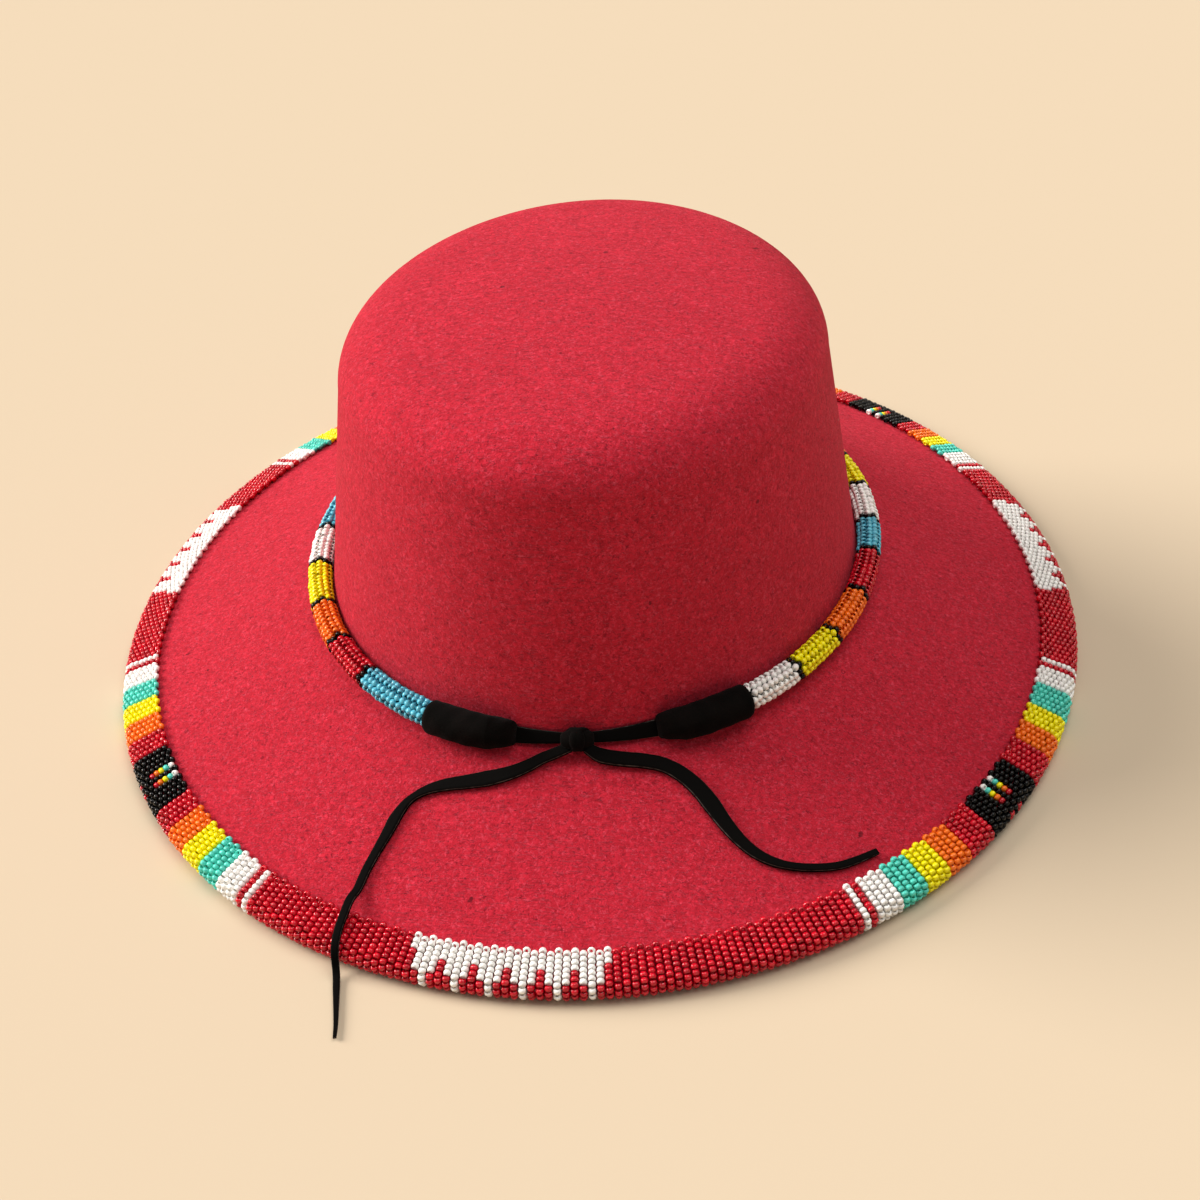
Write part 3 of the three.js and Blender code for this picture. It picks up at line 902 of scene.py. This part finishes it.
# The loose tails, in millimetres: the same points as in the part's source.
LEFT_TAIL_ROUTE = (
    (3.4, -108.2, 31.9), (-0.2, -109.6, 30.9), (-4.4, -111.8, 29.5), (-9.3, -113.9, 28.3),
    (-15.0, -115.2, 27.1), (-21.7, -116.2, 26.0), (-28.2, -116.9, 24.9), (-33.8, -118.2, 23.5),
    (-38.4, -121.0, 21.7), (-41.3, -125.4, 19.6), (-43.2, -130.6, 17.4), (-45.3, -136.2, 15.2),
    (-47.3, -142.2, 13.0), (-48.5, -148.4, 11.5), (-49.5, -153.0, 11.9), (-50.3, -157.8, 10.6),
    (-50.8, -162.2, 9.3), (-50.9, -166.0, 7.9), (-50.7, -168.6, 5.6), (-50.4, -170.0, 3.0),
    (-49.8, -172.4, 1.3), (-48.8, -176.6, 1.0), (-47.2, -183.0, 1.0), (-45.7, -189.2, 1.0),
    (-44.9, -193.6, 1.0),
)
RIGHT_TAIL_ROUTE = (
    (16.2, -107.6, 31.8), (19.6, -107.6, 31.0), (23.6, -107.2, 30.3), (28.6, -106.6, 29.6),
    (34.6, -106.4, 28.4), (40.0, -108.0, 26.8), (45.1, -110.9, 24.5), (49.6, -115.0, 22.0),
    (54.0, -119.9, 19.4), (58.8, -124.3, 17.0), (63.8, -127.3, 15.0), (69.4, -128.8, 13.5),
    (75.4, -128.7, 12.3), (81.6, -127.4, 11.4), (87.2, -125.3, 10.7), (92.4, -122.0, 10.4),
    (97.6, -118.0, 10.2),
)
# Each tail: where it starts inside the knot, its route, and shares of the lace's width and
# thickness by the share of its length.
TAILS = {
    "left": ((7.6, -106.8, 33.4), LEFT_TAIL_ROUTE,
             ((0, 0.8, 1.2), (0.08, 0.9, 1.1), (0.2, 1.25, 1), (0.3, 0.95, 1), (0.37, 0.55, 1.1),
              (0.44, 0.95, 1), (0.52, 0.7, 1), (0.7, 0.62, 1), (0.86, 0.5, 0.9), (1, 0.25, 0.6))),
    "right": ((12.6, -106.6, 33.4), RIGHT_TAIL_ROUTE,
              ((0, 0.8, 1.3), (0.05, 1.15, 1.3), (0.25, 1.15, 1.2), (0.42, 1.35, 1.1),
               (0.55, 1.0, 1.1), (0.72, 0.6, 1.1), (0.9, 0.6, 1), (1, 0.5, 0.8))),
}


def interpolate(table, at):
    """Row of a table of sections at a share of its length."""
    columns = list(zip(*table))
    return [float(np.interp(at, columns[0], column)) for column in columns[1:]]


# A cut lace's section: shares of its half width and half thickness, nearly square edged.
LACE_SECTION = (
    (1.0, 0.0), (0.97, 0.62), (0.86, 0.94), (0.5, 1.0), (0.0, 0.96), (-0.5, 1.0), (-0.86, 0.94),
    (-0.97, 0.62), (-1.0, 0.0), (-0.97, -0.7), (-0.86, -0.96), (-0.5, -1.0), (0.0, -1.0),
    (0.5, -1.0), (0.86, -0.96), (0.97, -0.7),
)
HIGHLIGHT_POINTS = (1, 7)  # points of the section on its upper edges, where a pale highlight is painted


def oval(out, up, sides=32, ripple=None):
    """An oval section, with an optional unevenness by the turn round it."""
    section = []
    for i in range(sides):
        turn = 2 * math.pi * i / sides
        grow = 1 + (ripple(turn) if ripple else 0)
        section.append((out * grow * math.cos(turn), up * grow * math.sin(turn)))
    return section


def lace_section(width, thickness):
    return [(width / 2 * a, thickness / 2 * b) for a, b in LACE_SECTION]


def corner_ring(form, degrees, section, seat, lean=0.0):
    """A section standing across the corner between the crown and the brim."""
    angle = math.radians(degrees)
    cos, sin = math.cos(lean), math.sin(lean)
    return [form.point(angle, seat[0] + u * cos - v * sin, seat[1] + u * sin + v * cos)
            for u, v in section]


LACE_SPACING = 0.9 * MM
ROUTE_STEPS = 12  # steps between two points of a route


def smooth_route(route, spacing):
    """Evenly spaced points on a Catmull-Rom curve through a route in millimetres."""
    chosen = [Vector(p) * MM for p in route]
    chosen = [2 * chosen[0] - chosen[1]] + chosen + [2 * chosen[-1] - chosen[-2]]
    fine = []
    for a, b, c, d in zip(chosen, chosen[1:], chosen[2:], chosen[3:]):
        for step in range(ROUTE_STEPS):
            t = step / ROUTE_STEPS
            fine.append(0.5 * ((2 * b) + (c - a) * t + (2 * a - 5 * b + 4 * c - d) * t**2
                               + (3 * b - a - 3 * c + d) * t**3))
    fine.append(chosen[-2])
    runs = np.concatenate([[0.0], np.cumsum([(q - p).length for p, q in zip(fine, fine[1:])])])
    count = int(runs[-1] / spacing) + 1
    wanted = np.linspace(0, runs[-1], count)
    coordinates = [np.interp(wanted, runs, [p[axis] for p in fine]) for axis in range(3)]
    return [Vector(p) for p in zip(*coordinates)], float(runs[-1])


def lace_up(form, point):
    """Which way is up from what a lace lies on."""
    offset = form.offset_at(point.x, point.y)
    if offset > form.edge:
        return Vector((0, 0, 1))
    slope = form.brim_angle(offset)
    out = Vector((point.x / (form.sizes.half_width + offset) ** 2,
                  point.y / (form.sizes.half_length + offset) ** 2, 0)).normalized()
    return out * math.sin(slope) + Vector((0, 0, math.cos(slope)))


def rub_edges(piece):
    """Marks a lace's upper edges, where its material paints a pale highlight."""
    sides = len(LACE_SECTION)
    edge = piece.data.attributes.new("edge", "FLOAT", "POINT")
    edge.data.foreach_set("value", [float(i % sides in HIGHLIGHT_POINTS) for i in range(len(edge.data))])
    return piece


def lace(form, name, route, widths, suede):
    """A flat lace along a route, with shares of its width and thickness by share of length."""
    path, run = smooth_route(route, LACE_SPACING)
    rings = []
    for i, centre in enumerate(path):
        before, after = path[max(i - 1, 0)], path[min(i + 1, len(path) - 1)]
        along = (after - before).normalized()
        side = lace_up(form, centre).cross(along).normalized()
        up = along.cross(side)
        width, thickness = interpolate(widths, i / (len(path) - 1))
        section = lace_section(form.sizes.lace_width * width, form.sizes.lace_thickness * thickness)
        rings.append([centre + side * u + up * v for u, v in section])
    return rub_edges(new_piece(name, *closed_loft(rings), suede)), path, run


class HAT_OT_tails(bpy.types.Operator):
    """Lays the tie's two loose tails over the brim"""

    bl_idname = "hat.tails"
    bl_label = "Loose tails"

    def execute(self, context):
        form = hat_form(context)
        leather = shared(context, cut_suede_lace)
        for side, (root, route, widths) in TAILS.items():
            piece, path, run = lace(form, f"lace_tail_{side}", (root, *route), widths, leather)
            dress(piece, f"{side}_tail")
        return {"FINISHED"}


class HAT_OT_tie(bpy.types.Operator):
    """Winds suede over the rope's ends and knots the lace between them"""

    bl_idname = "hat.tie"
    bl_label = "Wraps, laces and knot"

    def execute(self, context):
        form = hat_form(context)
        suede = shared(context, black_suede)
        leather = shared(context, cut_suede_lace)
        for name, (start, end) in WRAPS.items():
            dress(self.wrap(form, name, start, end, suede), name)
        for name, (start, end) in LACES.items():
            dress(self.stretched(form, name, start, end, leather), name)
        dress(self.lump(form, suede), "tie_knot")
        for turn, (middle, swing) in enumerate(KNOT_TURNS):
            dress(self.knot_turn(form, f"suede_knot_turn_{turn}", middle, swing, suede),
                  "tie_knot")
        return {"FINISHED"}

    def wrap(self, form, name, start, end, suede):
        """Suede wound over the rope's end, a little pleated where it draws in."""
        radius = form.sizes.wrap_radius
        rings = []
        for share in np.linspace(0, 1, WRAP_RINGS):
            out, up = interpolate(WRAP_SECTIONS, share)
            drawn_in = min(1, share / WRAP_DRAW[0]) * (WRAP_DRAW[1] + share)

            def ripple(turn, share=share, drawn_in=drawn_in):
                pleat, crease = (
                    height * math.sin(waves * turn + wind * share)
                    for waves, wind, height in (WRAP_PLEATS, WRAP_CREASES))
                return drawn_in * pleat + crease

            rings.append(corner_ring(
                form, start + (end - start) * share,
                oval(out * radius, up * radius, ripple=ripple),
                form.corner_seat(out * radius, up * radius)))
        return new_piece(f"suede_{name}", *closed_loft(rings), suede)

    def stretched(self, form, name, start, end, leather):
        """The lace drawn tight from a wrap to the knot, and tucked into both."""
        seat = form.corner_seat(LACE_BROAD / 2, form.sizes.lace_thickness / 2, LACE_LEAN)
        tuck = math.copysign(LACE_TUCK, end - start)
        rings = []
        for share in np.linspace(0, 1, LACE_RINGS):
            from_wrap = share if name.startswith("left") else 1 - share
            broad = LACE_BROAD * (1 - LACE_TAPER * from_wrap)
            rings.append(corner_ring(
                form, start - tuck + (end - start + 2 * tuck) * share,
                lace_section(broad, form.sizes.lace_thickness), seat,
                LACE_LEAN + LACE_TWIST * from_wrap))
        return rub_edges(new_piece(f"suede_{name}", *closed_loft(rings), leather))

    def lump(self, form, suede):
        """The knot's heart, which its turns are wound round."""
        seat = form.corner_seat(KNOT_DEPTH / 2, KNOT_HEIGHT / 2)
        rings = []
        for share in np.linspace(0, 1, KNOT_RINGS):
            swell = math.sin(math.pi * share) ** KNOT_FULLNESS
            size = KNOT_HEART * (KNOT_END + (1 - KNOT_END) * swell)
            rings.append(corner_ring(
                form, KNOT_SPAN[0] + (KNOT_SPAN[1] - KNOT_SPAN[0]) * share,
                oval(size * KNOT_DEPTH / 2, size * KNOT_HEIGHT / 2, sides=KNOT_SIDES), seat))
        return new_piece("suede_knot", *closed_loft(rings), suede)

    def knot_turn(self, form, name, middle, swing, suede):
        """One turn of the lace, wound on a slant round the knot's heart."""
        seat = form.corner_seat(KNOT_DEPTH / 2, KNOT_HEIGHT / 2)
        thick = KNOT_TURN_THICKNESS / 2
        rings = []
        for i in range(KNOT_TURN_RINGS):
            turn = 2 * math.pi * i / KNOT_TURN_RINGS
            share = middle + swing * math.cos(turn - KNOT_SWEEP)
            crown = KNOT_TURN_END + (1 - KNOT_TURN_END) * math.sin(math.pi * share)
            ring = []
            for j in range(KNOT_TURN_SIDES):
                spin = 2 * math.pi * j / KNOT_TURN_SIDES
                rise = thick * math.sin(spin)
                across = KNOT_TURN_WIDTH / 2 * math.cos(spin)
                degrees = KNOT_SPAN[0] + (KNOT_SPAN[1] - KNOT_SPAN[0]) * (share + across)
                out = crown * (KNOT_DEPTH / 2 - thick) + rise
                up = crown * (KNOT_HEIGHT / 2 - thick) + rise
                ring += corner_ring(
                    form, degrees, [(out * math.cos(turn), up * math.sin(turn))], seat)
            rings.append(ring)
        points = [p for ring in rings for p in ring]
        faces = ring_faces(len(rings), KNOT_TURN_SIDES, joined=True)
        return new_piece(name, points, faces, suede)


# Stage

# The camera, fitted to the outlines of the brim and crown in the photo.
SENSOR = 36.0
LENS = 57.03
CAMERA_NEAR = 0.01
CAMERA_AWAY = 0.660  # metres from the middle of the brim's foot
CAMERA_ASIDE = 0.0003
CAMERA_RISE = math.radians(36.5)  # how high it stands above the floor
CAMERA_PITCH = math.radians(35.9)  # how far it looks down
CAMERA_ROLL = math.radians(-3.34)
CAMERA_ROUND = math.radians(10)  # how far it stands round the hat from its front
# Broad, distant lamps: name, where it stands in metres, spread in degrees, power and hue.
LAMPS = (
    ("key", (-3.7, 0.6, 2.1), 34.0, 4.6, "FFF8F2"),
    ("top", (0.7, 0.7, 3.2), 50.0, 1.7, "FFFCF8"),
)
LAMP_TARGET = (0.0, 0.0, 0.05)
# The backdrop: as pale as the lit floor at the horizon, and a dim grey light from above.
HORIZON = "F9DFBE"
SKY = "949290"
SKY_FADE = 0.22  # height, as the sine of its angle, where the grey is reached
FLOOR_REACH = 60.0  # metres to each side, so that no view shows its edge
FLOOR_CORNERS = ((-1, -1), (1, -1), (1, 1), (-1, 1))


class HAT_OT_stage(bpy.types.Operator):
    """Sets the camera, the pale floor and the soft lights"""

    bl_idname = "hat.stage"
    bl_label = "Stage"

    def execute(self, context):
        scene = context.scene
        scene.camera = self.camera()
        self.floor(scene.hat_colours.floor)
        for lamp in LAMPS:
            self.lamp(*lamp)
        scene.world = self.backdrop()
        scene.view_settings.view_transform = "Standard"
        return {"FINISHED"}

    def camera(self):
        camera = bpy.data.cameras.new("camera")
        camera.sensor_width = SENSOR
        camera.lens = LENS
        camera.clip_start = CAMERA_NEAR
        viewer = show("camera", camera)
        turn = Matrix.Rotation(CAMERA_ROUND, 4, "Z")
        place = turn @ Vector((
            CAMERA_ASIDE, -CAMERA_AWAY * math.cos(CAMERA_RISE), CAMERA_AWAY * math.sin(CAMERA_RISE)))
        viewer.matrix_world = (
            Matrix.Translation(place) @ turn @ Matrix.Rotation(math.pi / 2 - CAMERA_PITCH, 4, "X")
            @ Matrix.Rotation(CAMERA_ROLL, 4, "Z"))
        return viewer

    def floor(self, hex_value):
        plane = bpy.data.meshes.new("floor")
        corners = [(x * FLOOR_REACH, y * FLOOR_REACH, 0) for x, y in FLOOR_CORNERS]
        plane.from_pydata(corners, [], [(0, 1, 2, 3)])
        paint, tree, shader = new_material("plain_pale_floor")
        fill(tree, shader, {
            "Base Color": linear(hex_value), "Roughness": 1.0, "Specular IOR Level": 0.0})
        plane.materials.append(paint)
        return show("floor", plane)

    def lamp(self, name, position, spread, power, hue):
        lamp = bpy.data.lights.new(name, "SUN")
        lamp.angle = math.radians(spread)
        lamp.energy = power
        lamp.color = linear(hue)[:3]
        aim = (Vector(LAMP_TARGET) - Vector(position)).to_track_quat("-Z", "Y")
        show(name, lamp).matrix_world = Matrix.Translation(position) @ aim.to_matrix().to_4x4()

    def backdrop(self):
        """A world that fades from the floor's tone at the horizon to grey above it."""
        world = bpy.data.worlds.new("studio")
        world.use_nodes = True
        tree = world.node_tree
        aim = add_node(tree, "ShaderNodeTexCoord").outputs["Generated"]
        height = add_node(tree, "ShaderNodeSeparateXYZ", {0: aim}).outputs["Z"]
        tone = blend_colours(tree, band(tree, height, 0.0, SKY_FADE), HORIZON, SKY)
        fill(tree, tree.nodes["Background"], {"Color": tone})
        return world


# The add-on

STEPS = (HAT_OT_stage, HAT_OT_tails, HAT_OT_felt, HAT_OT_brim_beads, HAT_OT_rope_beads, HAT_OT_tie)


class HAT_PT_panel(bpy.types.Panel):
    """Lists the hat's pieces in the sidebar"""

    bl_label = "Felt hat"
    bl_idname = "HAT_PT_panel"
    bl_space_type = "VIEW_3D"
    bl_region_type = "UI"
    bl_category = "Felt hat"

    def draw(self, context):
        layout = self.layout
        scene = context.scene
        for group in (scene.hat_sizes, scene.hat_beads, scene.hat_colours):
            box = layout.box()
            for name in group.bl_rna.properties.keys():
                if name not in {"rna_type", "name"}:
                    box.prop(group, name)
        for step in STEPS:
            layout.operator(step.bl_idname)


CLASSES = (HatSizes, BeadSizes, HatColours, *STEPS, HAT_PT_panel)


def register():
    for item in CLASSES:
        bpy.utils.register_class(item)
    bpy.types.Scene.hat_sizes = bpy.props.PointerProperty(type=HatSizes)
    bpy.types.Scene.hat_beads = bpy.props.PointerProperty(type=BeadSizes)
    bpy.types.Scene.hat_colours = bpy.props.PointerProperty(type=HatColours)


def unregister():
    del bpy.types.Scene.hat_colours
    del bpy.types.Scene.hat_beads
    del bpy.types.Scene.hat_sizes
    for item in reversed(CLASSES):
        bpy.utils.unregister_class(item)


def main():
    register()
    bpy.ops.hat.stage()
    bpy.ops.hat.tails()
    bpy.ops.hat.felt()
    bpy.ops.hat.brim_beads()
    bpy.ops.hat.rope_beads()
    bpy.ops.hat.tie()


if __name__ == "__main__":
    main()
